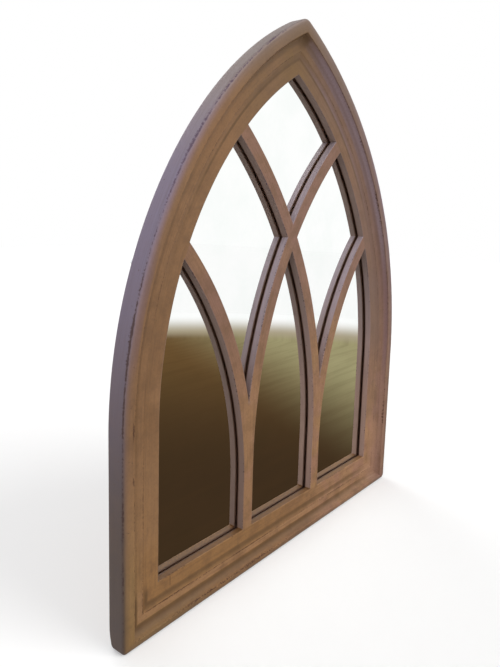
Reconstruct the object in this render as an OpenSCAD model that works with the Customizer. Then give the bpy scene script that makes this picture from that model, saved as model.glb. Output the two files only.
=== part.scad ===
// Pointed-arch window mirror: a moulded wooden frame, three lancets of intersecting tracery and one pane behind.
// X runs across the mirror, Y from its front to the wall, and Z up. The origin is the middle of the base.

/* [Opening] */
// Width between the stiles, at the tracery's front face
opening_w = 480; // [450:1:510]
// Height from the sill to the springing line, where the arch begins to curve
spring_h = 178; // [165:1:200]
// Radius of the opening's two arcs
arch_r = 455; // [440:1:480]

/* [Moulded frame] */
// Width of a stile and of the arch, from the opening to the outer edge
stile_w = 60; // [58:0.5:66]
// Width of the bottom rail, from the sill to the base
rail_w = 52; // [51:0.5:58]
// Flat border around the opening, level with the tracery
border_w = 15.5; // [14:0.5:17]
// Width of the shallow hollow that rises from the border
step_w = 9.5; // [8:0.5:10]
// Rise of that hollow
step_h = 2.2; // [1.5:0.1:2.8]
// Width of the flat band above the hollow
fillet_w = 8; // [6:0.5:9]
// Width of the deep cove between the band and the rim
cove_w = 11; // [10.5:0.5:12]
// Height of the rim above the tracery
rim_h = 11; // [10:0.5:12]
// Rounding of the rim's outer front edge
rim_ease = 3.5; // [2:0.5:5]
// Rounding of the frame's outer back edge
back_ease = 2; // [1:0.5:3]
// Rounding of the two bottom corners, seen from the front
corner_r = 5; // [3:0.5:7]
// Angle up the arc at which the lower and the upper arch pieces meet
splice_angle = 31; // [27:1:34]

/* [Tracery] */
// Thickness of the tracery and of the frame's border
tracery_t = 10; // [9:0.5:12]
// Width of every bar and mullion
bar_w = 19; // [17:0.5:21]
// Distance between the middles of the two mullions
mullion_pitch = 162; // [156:1:168]
// Radius of a long bar's middle line
long_r = 540; // [520:5:570]
// Height above the sill at which a long bar begins to curve
long_h = 90; // [80:1:98]
// Radius of a short bar's middle line
short_r = 434; // [420:1:450]
// Height above the sill at which a short bar begins to curve
short_h = 64; // [54:1:74]
// Width of the tenons on the bars and mullions
tenon_w = 12; // [9:0.5:13]
// Thickness of those tenons
tenon_t = 4; // [3:0.5:5]
// Length of those tenons
tenon_l = 8; // [6:0.5:10]

/* [Glass and back] */
// Thickness of the mirror pane
glass_t = 3; // [3:0.5:4]
// Width of the rebate that the pane lies in
rebate_w = 14; // [10:0.5:15]
// Gap between the pane's edge and the rebate
glass_play = 1; // [0.5:0.25:2]
// Thickness of the backing board
board_t = 3; // [2.5:0.5:4]
// Distance from the opening to the backing board's edge
board_lap = 34; // [30:0.5:36]
// Diameter of the backing screws' shanks
screw_d = 2.9; // [2.5:0.1:3.5]
// Diameter of the backing screws' heads
screw_head_d = 6.5; // [5.5:0.5:7.5]
// Height of the backing screws' heads
screw_head_h = 1.6; // [1.2:0.1:2.2]
// Depth that the backing screws reach into the frame
screw_bite = 8; // [6:0.5:10]

/* [Joinery] */
// Diameter of the frame's dowels
dowel_d = 8; // [6:0.5:8]
// Length of the frame's dowels
dowel_l = 30; // [24:1:34]
// Distance from the opening to the inner row of dowels
dowel_in = 17; // [15:0.5:19]
// Distance from the opening to the outer row of dowels
dowel_out = 36; // [34:0.5:40]
// Diameter of the dowels at the bars' feet
peg_d = 5; // [4:0.5:6]
// Length of the dowels at the bars' feet
peg_l = 24; // [18:1:28]
// Gap around every dowel and screw
bore_gap = 0.05; // [0.02:0.01:0.1]
// Gap at curved or crossed joints in the tracery
joint_gap = 0.1; // [0.05:0.05:0.2]

/* [Hangers and pads] */
// Angle up the arc at which the hangers sit
hanger_angle = 20; // [17:0.5:22]
// Distance from the opening to the middle of a hanger
hanger_u = 47; // [46:0.5:48]
// Width of a hanger plate
plate_w = 12; // [10:0.5:13]
// Length of a hanger plate below its eye
plate_l = 27; // [24:1:32]
// Thickness of a hanger plate
plate_t = 1.2; // [1:0.1:1.5]
// Diameter of a ring's wire
wire_d = 2.5; // [2:0.1:3]
// Radius of a ring's bow, at the wire's middle
ring_r = 9; // [8:0.25:10]
// Gap around the wire in its eye
hinge_gap = 0.08; // [0.05:0.01:0.1]
// Diameter of a hanger screw's shank
hanger_screw_d = 3.5; // [3:0.1:4]
// Diameter of a hanger screw's head
hanger_head_d = 7; // [6:0.5:8]
// Height of a hanger screw's head
hanger_head_h = 2.2; // [1.5:0.1:2.8]
// Depth that a hanger screw reaches into the frame
hanger_bite = 12; // [9:0.5:14]
// Distance from a hanger's eye to its screw
hanger_screw_drop = 18; // [15:0.5:19]
// Diameter of the felt pads
pad_d = 12; // [10:0.5:13]
// Thickness of the felt pads
pad_t = 6; // [5.5:0.5:8]
// Distance from the middle to each lower pad
pad_x = 225; // [200:1:240]
// Angle up the arc at which the upper pads sit
pad_angle = 50; // [45:1:54]

/* [Hidden] */

half_w = opening_w / 2;
half_bar = bar_w / 2;
mullion_x = mullion_pitch / 2;
arc_x = arch_r - half_w;
// Heights, from the base
sill_z = rail_w;
spring_z = sill_z + spring_h;
long_z = sill_z + long_h;
short_z = sill_z + short_h;
// Depths, from the front to the wall
depth = rim_h + tracery_t + glass_t + pad_t;
face_y = -depth / 2 + rim_h;
glass_y = face_y + tracery_t;
back_y = glass_y + glass_t;
board_y = back_y + board_t;
mid_y = face_y + tracery_t / 2;
// Places along the moulding, from the opening outwards
band_u = border_w + step_w;
cove_u = band_u + fillet_w;
rim_u = cove_u + cove_w;
// The arcs of the hollow and the cove dip a little below a tangent, as a router leaves them
step_r = 0.96 * (pow(step_w, 2) + pow(step_h, 2)) / (2 * step_h);
cove_rise = rim_h - step_h;
cove_r = 0.96 * (pow(cove_w, 2) + pow(cove_rise, 2)) / (2 * cove_rise);
// The hollows are cut this far past their ends, so that they leave no sliver of wood there
hollow_over = 0.004;
// An eased edge is a few short flats, as a block plane leaves it
ease_flats = 5;
eye_r = wire_d / 2 + hinge_gap;
eye_y = back_y + eye_r + plate_t;
round_fn = 48;
arc_fn = 360;

// Point where the outer edges of a mullion's two bars part, and the mullion's fork ends
long_c = [-mullion_x + long_r, long_z];
short_c = [-mullion_x - short_r, short_z];
fork_z = circles_meet(long_c, long_r + half_bar, short_c, short_r + half_bar)[1];

// Upper point where two circles meet
function circles_meet(a, ra, b, rb) =
    let (
        d = norm(b - a),
        along = (pow(d, 2) + pow(ra, 2) - pow(rb, 2)) / (2 * d),
        up = sqrt(pow(ra, 2) - pow(along, 2)),
        e = (b - a) / d
    )
    a + along * e + up * [e[1], -e[0]];

// Middle of the circle of radius r through p and q that lies to the right of the way from p to q
function arc_middle(p, q, r) =
    let (d = norm(q - p), e = (q - p) / d)
    (p + q) / 2 + sqrt(pow(r, 2) - pow(d / 2, 2)) * [e[1], -e[0]];

// Place on the left arch, u outside the opening and at an angle up the arc
function on_arch(u, angle) = [arc_x - (arch_r + u) * cos(angle), spring_z + (arch_r + u) * sin(angle)];

// Angle up the left arc at which the circle u outside the opening reaches the middle of the mirror
function point_angle(u) = acos(arc_x / (arch_r + u));

// Angle up a left-leaning or right-leaning bar's middle line, at height z
function bar_angle(r, start_z, z) = asin((z - start_z) / r);

// Places of the left half's backing screws: on the arch, the stile and the rail
screw_u = (rebate_w + board_lap) / 2;
screw_places = [
    for (a = [8, 24, 40, 54]) on_arch(screw_u, a),
    [-half_w - screw_u, sill_z + spring_h / 2],
    [-half_w / 2, sill_z - screw_u]
];
// Places of the left half's felt pads
pad_rail_u = (board_lap + rail_w) / 2;
pad_arch_u = (board_lap + stile_w) / 2;
pad_places = [[-pad_x, sill_z - pad_rail_u], on_arch(pad_arch_u, pad_angle)];

// A flat shape in the mirror's plane, from depth y0 to depth y1
module slab(y0, y1) {
    rotate([90, 0, 0])
        translate([0, 0, -y1])
            linear_extrude(y1 - y0)
                children();
}

// A round bar along Y, at a place [x, z] and from depth y0 to depth y1
module rod_y(place, d, y0, y1) {
    translate([place[0], y1, place[1]])
        rotate([90, 0, 0])
            cylinder(d = d, h = y1 - y0, $fn = round_fn);
}

// A dowel in the mirror's plane, with its middle at a place [x, z], turned by an angle from X towards Z
module dowel(place, angle, d, length) {
    translate([place[0], mid_y, place[1]])
        rotate([0, -angle, 0])
            rotate([0, 90, 0])
                cylinder(d = d, h = length, center = true, $fn = round_fn);
}

module both_sides() {
    children();
    mirror([1, 0, 0])
        children();
}

// The opening's outline, grown outwards by grow
module opening_2d(grow = 0) {
    r = arch_r + grow;
    w = half_w + grow;
    intersection() {
        translate([arc_x, spring_z])
            circle(r, $fn = arc_fn);
        translate([-arc_x, spring_z])
            circle(r, $fn = arc_fn);
        translate([-w, spring_z])
            square([2 * w, r]);
    }
    translate([-w, sill_z - grow])
        square([2 * w, spring_h + grow]);
}

// The corner of a square to take away for an easing of radius r, towards +u and -y
module corner_2d(u, y, r) {
    translate([u - r, y])
        difference() {
            translate([0, -1])
                square([r + 1, r + 1]);
            translate([0, r])
                polygon([for (i = [0 : 4 * ease_flats - 1]) r * [cos(90 * i / ease_flats), sin(90 * i / ease_flats)]]);
        }
}

// The frame's section: u from the opening outwards, and y from the tracery's face backwards
module section_2d(width) {
    back = tracery_t + glass_t;
    step = arc_middle([border_w, 0], [band_u, -step_h], step_r);
    cove = arc_middle([cove_u, -step_h], [rim_u, -rim_h], cove_r);
    difference() {
        polygon([[0, 0], [border_w, 0], [band_u, -step_h], [cove_u, -step_h], [rim_u, -rim_h], [width, -rim_h],
            [width, back], [rebate_w, back], [rebate_w, tracery_t], [0, tracery_t]]);
        translate(step)
            circle(step_r + hollow_over, $fn = 4 * round_fn);
        translate(cove)
            circle(cove_r + hollow_over, $fn = 2 * round_fn);
        corner_2d(width, -rim_h, rim_ease);
        mirror([0, 1])
            corner_2d(width, -back, back_ease);
    }
}

// The rail's part of the frame, up to the two mitres
module rail_zone_2d() {
    polygon([[-half_w, sill_z], [half_w, sill_z], [half_w + sill_z, 0], [-half_w - sill_z, 0]]);
}

// The rounding of the left bottom corner, as a shape to take away
module left_corner_2d() {
    x = half_w + stile_w;
    translate([-x + corner_r, corner_r])
        difference() {
            translate([-corner_r - 1, -corner_r - 1])
                square(corner_r + 1);
            circle(corner_r, $fn = round_fn);
        }
}

// One side's curved moulding between two angles up the arc, in its left-hand place
module left_arch_sweep(a0, a1) {
    translate([arc_x, face_y, spring_z])
        rotate([90, 0, 0])
            rotate([0, 0, 180 - a1])
                rotate_extrude(angle = a1 - a0, $fn = arc_fn)
                    translate([arch_r, 0])
                        mirror([0, 1])
                            section_2d(stile_w);
}

// A bar's face: straight up from the sill, then bent left or right on a circle of radius r
module bar_2d(x, lean, r, start_z, half) {
    translate([x - half, 0])
        square([2 * half, start_z]);
    intersection() {
        translate([x + lean * r, start_z])
            difference() {
                circle(r + half, $fn = arc_fn);
                circle(r - half, $fn = arc_fn);
            }
        translate([lean > 0 ? x - half : x - r, start_z])
            square([r + half, r + half]);
    }
}

module left_long_2d(half = half_bar) {
    bar_2d(-mullion_x, 1, long_r, long_z, half);
}

module left_short_2d(half = half_bar) {
    bar_2d(-mullion_x, -1, short_r, short_z, half);
}

// The part of the mirror's plane above the mullions' forks
module above_fork_2d() {
    translate([-half_w - stile_w, fork_z])
        square([opening_w + 2 * stile_w, arch_r + spring_h]);
}

// A bar's tenon in the arch, grown on every side by gap, with a root that reaches back into the bar
module arch_tenon(gap, root) {
    slab(mid_y - tenon_t / 2 - gap, mid_y + tenon_t / 2 + gap)
        intersection() {
            difference() {
                opening_2d(tenon_l + gap);
                opening_2d(-root);
            }
            above_fork_2d();
            children();
        }
}

// A mullion's tenon in the rail, grown on every side by gap
module sill_tenon(gap = 0) {
    translate([-mullion_x - tenon_w / 2 - gap, mid_y - tenon_t / 2 - gap, sill_z - tenon_l - gap])
        cube([tenon_w + 2 * gap, tenon_t + 2 * gap, tenon_l + gap + (gap > 0 ? 1 : 0)]);
}

// Dowels of one side, each as [place, angle]
left_corner_dowels = [for (u = [dowel_in, dowel_out]) [[-half_w - u, sill_z - u], 135]];
left_stile_dowels = [for (u = [dowel_in, dowel_out]) [[-half_w - u, spring_z], 90]];
left_arch_dowels = [for (u = [dowel_in, dowel_out]) [on_arch(u, splice_angle), 90 - splice_angle]];
point_dowels = [for (u = [dowel_in, dowel_out]) [on_arch(u, point_angle(u)), 0]];
// The pegs at the left mullion's fork stand in the middle of each bar's foot
long_foot = bar_angle(long_r, long_z, fork_z);
short_foot = bar_angle(short_r, short_z, fork_z);
left_bar_dowels = [
    [[long_c[0] - long_r * cos(long_foot), fork_z], 90 - long_foot],
    [[short_c[0] + short_r * cos(short_foot), fork_z], 90 + short_foot]
];

module dowels(list, d, length) {
    for (p = list)
        dowel(p[0], p[1], d, length);
}

// Every hole in the left half of the frame's wood
module left_frame_holes() {
    dowels(concat(left_corner_dowels, left_stile_dowels, left_arch_dowels, point_dowels),
        dowel_d + 2 * bore_gap, dowel_l + 1);
    for (p = screw_places)
        rod_y(p, screw_d + 2 * bore_gap, back_y - screw_bite - 1, back_y + 1);
    rod_y(hanger_screw_place(), hanger_screw_d + 2 * bore_gap, back_y - hanger_bite - 1, back_y + 1);
}

module left_mortises() {
    arch_tenon(joint_gap, joint_gap)
        left_short_2d(tenon_w / 2 + joint_gap);
    mirror([1, 0, 0])
        arch_tenon(joint_gap, joint_gap)
            left_long_2d(tenon_w / 2 + joint_gap);
}

module bottom_rail() {
    color("tan")
        difference() {
            intersection() {
                translate([-half_w - stile_w, face_y, sill_z])
                    rotate([90, 0, 90])
                        linear_extrude(opening_w + 2 * stile_w)
                            rotate(-90)
                                section_2d(rail_w);
                slab(face_y - rim_h - 1, board_y)
                    rail_zone_2d();
            }
            both_sides() {
                left_frame_holes();
                sill_tenon(joint_gap);
            }
        }
}

module left_stile() {
    color("tan")
        difference() {
            translate([-half_w, face_y, 0])
                mirror([1, 0, 0])
                    linear_extrude(spring_z)
                        section_2d(stile_w);
            slab(face_y - rim_h - 1, board_y)
                rail_zone_2d();
            slab(face_y - rim_h - 1, board_y)
                left_corner_2d();
            left_frame_holes();
        }
}

module left_lower_arch() {
    color("tan")
        difference() {
            left_arch_sweep(0, splice_angle);
            left_frame_holes();
            left_mortises();
        }
}

module left_upper_arch() {
    color("tan")
        difference() {
            left_arch_sweep(splice_angle, 75);
            translate([0, -depth, 0])
                cube([arch_r, 2 * depth, spring_z + 2 * arch_r]);
            left_frame_holes();
            left_mortises();
        }
}

module left_mullion() {
    color("rosybrown")
        difference() {
            union() {
                slab(face_y, glass_y)
                    intersection() {
                        union() {
                            left_long_2d();
                            left_short_2d();
                        }
                        translate([-half_w, sill_z])
                            square([half_w, fork_z - sill_z]);
                    }
                sill_tenon();
            }
            dowels(left_bar_dowels, peg_d + 2 * bore_gap, peg_l + 1);
        }
}

// A bar's body and tenon, without the crossing
module bar_body() {
    slab(face_y, glass_y)
        intersection() {
            children(0);
            opening_2d(-joint_gap);
            above_fork_2d();
        }
    arch_tenon(0, tenon_t)
        children(1);
}

// The two long bars cross with a halved joint: the left one keeps its front half
module left_long_bar() {
    color("rosybrown")
        difference() {
            bar_body() {
                left_long_2d();
                left_long_2d(tenon_w / 2);
            }
            slab(mid_y - joint_gap / 2, glass_y + 1)
                intersection() {
                    above_fork_2d();
                    mirror([1, 0])
                        left_long_2d(half_bar + joint_gap);
                }
            dowels(left_bar_dowels, peg_d + 2 * bore_gap, peg_l + 1);
        }
}

module right_long_bar() {
    color("rosybrown")
        difference() {
            mirror([1, 0, 0])
                bar_body() {
                    left_long_2d();
                    left_long_2d(tenon_w / 2);
                }
            slab(face_y - 1, mid_y + joint_gap / 2)
                intersection() {
                    above_fork_2d();
                    left_long_2d(half_bar + joint_gap);
                }
            mirror([1, 0, 0])
                dowels(left_bar_dowels, peg_d + 2 * bore_gap, peg_l + 1);
        }
}

module left_short_bar() {
    color("rosybrown")
        difference() {
            bar_body() {
                left_short_2d();
                left_short_2d(tenon_w / 2);
            }
            dowels(left_bar_dowels, peg_d + 2 * bore_gap, peg_l + 1);
        }
}

module corner_dowels() {
    color("burlywood")
        both_sides()
            dowels(left_corner_dowels, dowel_d, dowel_l);
}

module stile_dowels() {
    color("burlywood")
        both_sides()
            dowels(left_stile_dowels, dowel_d, dowel_l);
}

module arch_dowels() {
    color("burlywood")
        both_sides()
            dowels(left_arch_dowels, dowel_d, dowel_l);
}

module apex_dowels() {
    color("burlywood")
        dowels(point_dowels, dowel_d, dowel_l);
}

module bar_dowels() {
    color("burlywood")
        both_sides()
            dowels(left_bar_dowels, peg_d, peg_l);
}

module mirror_glass() {
    color("lightsteelblue")
        slab(glass_y, back_y)
            opening_2d(rebate_w - glass_play);
}

module backing_board() {
    color("saddlebrown")
        difference() {
            slab(back_y, board_y)
                opening_2d(board_lap);
            both_sides()
                for (p = screw_places)
                    rod_y(p, screw_d + 2 * bore_gap, back_y - 1, board_y + 1);
        }
}

module backing_screws() {
    color("gainsboro")
        both_sides()
            for (p = screw_places) {
                rod_y(p, screw_d, back_y - screw_bite, board_y + screw_head_h / 2);
                rod_y(p, screw_head_d, board_y, board_y + screw_head_h);
            }
}

// A hanger's own frame: its eye at the origin, its plate down and its ring up, turned along the arch
module left_hanger_place() {
    p = on_arch(hanger_u, hanger_angle);
    translate([p[0], eye_y, p[1]])
        rotate([0, hanger_angle, 0])
            children();
}

function hanger_screw_place() =
    on_arch(hanger_u, hanger_angle) - hanger_screw_drop * [sin(hanger_angle), cos(hanger_angle)];

module left_hanger_plate() {
    eye_w = plate_w - 2;
    color("silver")
        left_hanger_place()
            difference() {
                union() {
                    translate([-plate_w / 2, -eye_r, -plate_l])
                        translate([0, eye_r + back_y - eye_y, 0])
                            cube([plate_w, plate_t, plate_l - 2 * eye_r]);
                    translate([-eye_w / 2, back_y - eye_y, -2.5 * eye_r])
                        cube([eye_w, plate_t, 2.5 * eye_r]);
                    rotate([0, 90, 0])
                        cylinder(r = eye_r + plate_t, h = eye_w, center = true, $fn = round_fn);
                }
                rotate([0, 90, 0])
                    cylinder(r = eye_r, h = plate_w, center = true, $fn = round_fn);
                translate([0, 0, -hanger_screw_drop])
                    rotate([90, 0, 0])
                        cylinder(d = hanger_screw_d + 2 * bore_gap, h = 4 * (eye_r + plate_t), center = true,
                            $fn = round_fn);
            }
}

module left_hanger_ring() {
    color("silver")
        left_hanger_place() {
            rotate([0, 90, 0])
                cylinder(d = wire_d, h = 2 * ring_r, center = true, $fn = round_fn);
            rotate([90, 0, 0])
                rotate_extrude(angle = 180, $fn = 2 * round_fn)
                    translate([ring_r, 0])
                        circle(d = wire_d, $fn = round_fn / 2);
            for (s = [-1, 1])
                translate([s * ring_r, 0, 0])
                    sphere(d = wire_d, $fn = round_fn);
        }
}

module hanger_screws() {
    p = hanger_screw_place();
    color("gainsboro")
        both_sides() {
            rod_y(p, hanger_screw_d, back_y - hanger_bite, back_y + plate_t + hanger_head_h / 2);
            rod_y(p, hanger_head_d, back_y + plate_t, back_y + plate_t + hanger_head_h);
        }
}

module wall_pads() {
    color("dimgray")
        both_sides()
            for (p = pad_places)
                rod_y(p, pad_d, back_y, back_y + pad_t);
}

bottom_rail();
left_stile();
mirror([1, 0, 0]) left_stile();  // right_stile
left_lower_arch();
mirror([1, 0, 0]) left_lower_arch();  // right_lower_arch
left_upper_arch();
mirror([1, 0, 0]) left_upper_arch();  // right_upper_arch
corner_dowels();
stile_dowels();
arch_dowels();
apex_dowels();
left_mullion();
mirror([1, 0, 0]) left_mullion();  // right_mullion
left_long_bar();
right_long_bar();
left_short_bar();
mirror([1, 0, 0]) left_short_bar();  // right_short_bar
bar_dowels();
mirror_glass();
backing_board();
backing_screws();
left_hanger_plate();
mirror([1, 0, 0]) left_hanger_plate();  // right_hanger_plate
left_hanger_ring();
mirror([1, 0, 0]) left_hanger_ring();  // right_hanger_ring
hanger_screws();
wall_pads();
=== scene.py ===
# %% [markdown]
# # A pointed window mirror
# The packed model gives every wooden member, the glass and the fittings their place and size. This lesson
# keeps those sizes and gives the members the small things that a plain solid lacks: arrises softened by sanding
# and paint, faces that are not quite flat, and a worn paint that shows brown where hands have rubbed it.

import math

import bpy
import numpy as np
from mathutils import Matrix, Vector


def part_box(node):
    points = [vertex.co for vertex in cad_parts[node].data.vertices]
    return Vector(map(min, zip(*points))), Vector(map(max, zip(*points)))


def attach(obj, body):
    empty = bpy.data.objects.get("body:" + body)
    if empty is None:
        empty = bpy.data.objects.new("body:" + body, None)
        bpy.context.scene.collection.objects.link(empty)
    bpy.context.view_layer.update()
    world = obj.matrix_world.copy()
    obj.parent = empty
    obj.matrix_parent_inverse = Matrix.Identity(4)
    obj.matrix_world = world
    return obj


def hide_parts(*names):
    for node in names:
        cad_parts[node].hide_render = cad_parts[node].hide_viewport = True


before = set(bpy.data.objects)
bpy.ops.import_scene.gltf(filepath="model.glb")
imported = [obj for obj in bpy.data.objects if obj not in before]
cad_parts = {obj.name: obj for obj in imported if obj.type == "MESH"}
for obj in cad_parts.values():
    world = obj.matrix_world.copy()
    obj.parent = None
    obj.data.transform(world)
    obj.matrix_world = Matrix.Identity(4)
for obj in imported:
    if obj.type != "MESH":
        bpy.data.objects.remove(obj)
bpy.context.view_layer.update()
MM = 0.001

# %% [markdown]
# The frame is drawn from a few circles and straight lines, so its sizes are written down once, in metres, and
# everything below is worked out from them. The opening is a pointed arch: straight sides up to the springing
# line, and above it two arcs whose middles lie on the far side of the mirror.

# %% Sizes of the frame and the tracery
HALF_W, SILL_Z, SPRING_Z = 240 * MM, 52 * MM, 230 * MM
ARC_X, ARCH_R = 215 * MM, 455 * MM
STILE_W, RAIL_W, CORNER_R, RUBBED_R = 60 * MM, 52 * MM, 5 * MM, 8 * MM
BORDER, BAND, COVE, RIM = 15.5 * MM, 25 * MM, 33 * MM, 44 * MM
STEP_H, RIM_H, RIM_EASE, BACK_EASE, ARRIS = 2.2 * MM, 11 * MM, 3.5 * MM, 3 * MM, 0.9 * MM
FACE_Y, GLASS_Y, BACK_Y = -4 * MM, 6 * MM, 9 * MM
MID_Y, REBATE = (FACE_Y + GLASS_Y) / 2, 14 * MM
HALF_BAR, MULLION_X = 9.5 * MM, 81 * MM
LONG_R, LONG_Z, SHORT_R, SHORT_Z = 540 * MM, 142 * MM, 434 * MM, 116 * MM
SPLICE = math.radians(31)
LONG_C = (LONG_R - MULLION_X, LONG_Z)
SHORT_C = (-MULLION_X - SHORT_R, SHORT_Z)
HALF_OUT = HALF_W + STILE_W
TIP_R = 15 * MM
TIP_Z = SPRING_Z + math.sqrt((ARCH_R + STILE_W - TIP_R) ** 2 - ARC_X**2)
print("opening", 2 * HALF_W, "wide, outline", 2 * HALF_OUT, "wide")

# %% [markdown]
# Two circles tell where one member ends on another: a bar ends on the opening's arc, and the two long bars
# cross. One small function for the place where circles meet does all of these, for whole arrays of radii.


# %% Where circles meet
def circles_meet(a, ra, b, rb, turn):
    """Place where the circle of radius ra about a meets the circle of radius rb about b: go from a towards b as
    far as the chord, then sideways by half the chord, to the right of the way (turn 1) or to the left (-1)."""
    dx, dz = b[0] - a[0], b[1] - a[1]
    d = math.hypot(dx, dz)
    along = (d**2 + ra**2 - rb**2) / (2 * d)
    up = np.sqrt(ra**2 - along**2)
    return a[0] + (along * dx + turn * up * dz) / d, a[1] + (along * dz - turn * up * dx) / d


FORK_Z = float(circles_meet(LONG_C, LONG_R + HALF_BAR, SHORT_C, SHORT_R + HALF_BAR, 1)[1])
print("the mullions fork at", round(FORK_Z / MM, 2), "mm")

# %% [markdown]
# ## One relief for all the wood
# Sanding and paint treat the front of the mirror as one surface: an arris is softened only where wood ends, and
# not where a bar runs into its neighbour. So the front is worked out as one relief over the plane of the
# mirror, and every member below is a patch of it. Two distances carry it: how far a place lies outside the
# opening, and how far it lies inside the wood from the nearest pane.


# %% Distances in the plane of the mirror
def outside_opening(x, z):
    """Distance outwards from the opening: past a straight side it is |x| less half the width, above the springing
    it is the distance from the far middle less the arch's radius, and below the sill it is the drop."""
    side = np.where(z > SPRING_Z, np.hypot(np.abs(x) + ARC_X, z - SPRING_Z) - ARCH_R, np.abs(x) - HALF_W)
    return np.maximum(side, SILL_Z - z)


def at_tip(x, z):
    """Whether a place is in the wedge that the tip's arc fills, seen from the middle of that arc."""
    return (z > TIP_Z) & (np.abs(x) * (TIP_Z - SPRING_Z) < (z - TIP_Z) * ARC_X)


def inside_outline(x, z):
    """Distance inwards from the frame's outline: the nearer of side and base, rounded off at the corners, of which
    the right one is rubbed rounder, and above the springing the frame's width less the distance outside the
    opening. The tip is worn to an arc, inside which it is the arc's radius less the distance from its middle."""
    side, base, r = HALF_OUT - np.abs(x), z, np.where(x > 0, RUBBED_R, CORNER_R)
    corner = r - np.hypot(np.maximum(r - side, 0), np.maximum(r - base, 0))
    low = np.where((side < r) & (base < r), corner, np.minimum(side, base))
    high = np.where(at_tip(x, z), TIP_R - np.hypot(x, z - TIP_Z), STILE_W - outside_opening(x, z))
    return np.where(z > SPRING_Z, high, low)


def inside_bar(x, z, centre, radius, start_z):
    """Distance inwards from a bar's edge: half its width less the distance from its middle line, which is upright
    up to start_z and then an arc."""
    off = np.where(z > start_z, np.hypot(x - centre[0], z - centre[1]) - radius, x + MULLION_X)
    return HALF_BAR - np.abs(off)


def inside_wood(x, z):
    """Distance inwards from the nearest pane: the largest of the distances inside the frame and each bar."""
    depth = outside_opening(x, z)
    for side in (1, -1):
        depth = np.maximum(depth, inside_bar(side * x, z, LONG_C, LONG_R, LONG_Z))
        depth = np.maximum(depth, inside_bar(side * x, z, SHORT_C, SHORT_R, SHORT_Z))
    return depth


print("middle of the sill to the nearest wood:", round(float(-inside_wood(0.0, 0.1)) / MM, 1), "mm")

# %% [markdown]
# The moulding is the same all round: a flat border, a shallow hollow, a flat band, a deep cove and a raised
# rim. Both hollows are arcs of circles. A short average along the section softens its arrises, as a few coats of
# paint do.


# %% The moulding's section
def hollow(u, u0, u1, y0, y1):
    """Arc that sinks below the straight line from (u0, y0) to (u1, y1), on a circle a little smaller than the one
    that leaves the low end flat."""
    w, h = u1 - u0, y0 - y1
    r = 0.96 * (w**2 + h**2) / (2 * h)
    length = math.hypot(w, h)
    reach = math.sqrt(r**2 - length**2 / 4)
    cu = (u0 + u1) / 2 - reach * h / length
    cy = (y0 + y1) / 2 - reach * w / length
    return cy + np.sqrt(np.maximum(r**2 - (u - cu)**2, 0))


def sharp_section(u):
    """Depth of the section at u, towards the viewer negative: flats joined by the hollow and the cove."""
    y = np.where(u > BORDER, hollow(u, BORDER, BAND, 0, -STEP_H), 0)
    y = np.where(u > BAND, -STEP_H, y)
    y = np.where(u > COVE, hollow(u, COVE, RIM, -STEP_H, -RIM_H), y)
    return np.where(u > RIM, -RIM_H, y)


def section(u):
    """The section averaged over 0.7 mm, which rounds its arrises and corners."""
    return sum(sharp_section(u + d * MM) for d in np.linspace(-0.35, 0.35, 7)) / 7


def eased(d, r):
    """Drop of a rounded edge at a distance d from it: a quarter circle of radius r."""
    return r - np.sqrt(r**2 - (r - np.clip(d, 0, r))**2)


places = np.array([10, 20, 29, 38, 50])
print("section at", places, "mm:", (section(places * MM) / MM).round(2))

# %% [markdown]
# Hand-made wood is not quite flat. A little smooth noise sinks the faces by up to a fifth of a millimetre, and a
# sharper noise takes small bites out of the rim's two edges. Both only sink the surface, so the member stays
# inside its solid.


# %% Smooth noise for unevenness
def lattice_noise(x, z, size, seed):
    """Smooth noise from 0 to 1: random values on a square lattice, blended with a smooth step in each cell."""
    table = np.random.default_rng(seed).random((64, 64))
    p, q = x / size, z / size
    i, j = np.floor(p).astype(int), np.floor(q).astype(int)
    a, b = p - i, q - j
    a, b = a * a * (3 - 2 * a), b * b * (3 - 2 * b)
    i0, j0, i1, j1 = i % 64, j % 64, (i + 1) % 64, (j + 1) % 64
    low = table[i0, j0] * (1 - a) + table[i1, j0] * a
    high = table[i0, j1] * (1 - a) + table[i1, j1] * a
    return low * (1 - b) + high * b


def bell(distance, width):
    """A bell curve: 1 at no distance, 1/e at the width, and next to nothing at twice the width."""
    return np.exp(-((distance / width) ** 2))


def bites(x, z):
    """Small bites along the rim's edges, from 0 to 1: the top tenth of a noise with 4 mm cells."""
    return np.clip(lattice_noise(x + z, z - x, 4 * MM, 5) * 4 - 3, 0, 1)


print("share of an edge that is bitten:", round(float((bites(*np.mgrid[0:200, 0:200] * MM) > 0).mean()), 3))


# %% The front and back reliefs
def front_relief(x, z):
    """Depth of the front: the section, the softened arris at the panes, the rounded outer edge, and unevenness."""
    u, edge = outside_opening(x, z), inside_outline(x, z)
    y = FACE_Y + section(u) + eased(inside_wood(x, z), ARRIS) + eased(edge, RIM_EASE)
    y = y + 0.12 * MM * lattice_noise(x, z, 31 * MM, 1) + 0.08 * MM * lattice_noise(x, z, 9 * MM, 2)
    near_rim = bell(u - RIM, 0.9 * MM) + bell(edge - 1.2 * MM, 1.4 * MM)
    return y + 0.22 * MM * near_rim * bites(x, z)


def back_relief(x, z):
    """Depth of the back: the glass's plane over the rebate, the wall side beyond it, and outer edges whose rounding
    grows towards the two corners that the mirror is set down on."""
    y = np.where(outside_opening(x, z) < REBATE, GLASS_Y, BACK_Y)
    set_down = bell(np.hypot(HALF_OUT - np.abs(x), z), 12 * MM)
    return y - eased(inside_outline(x, z), BACK_EASE + 5 * MM * set_down) - eased(inside_wood(x, z), 0.5 * MM)


print("front and back of the left stile's rim:",
      [round(float(relief(-0.29, 0.15)) / MM, 2) for relief in (front_relief, back_relief)], "mm")

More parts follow.
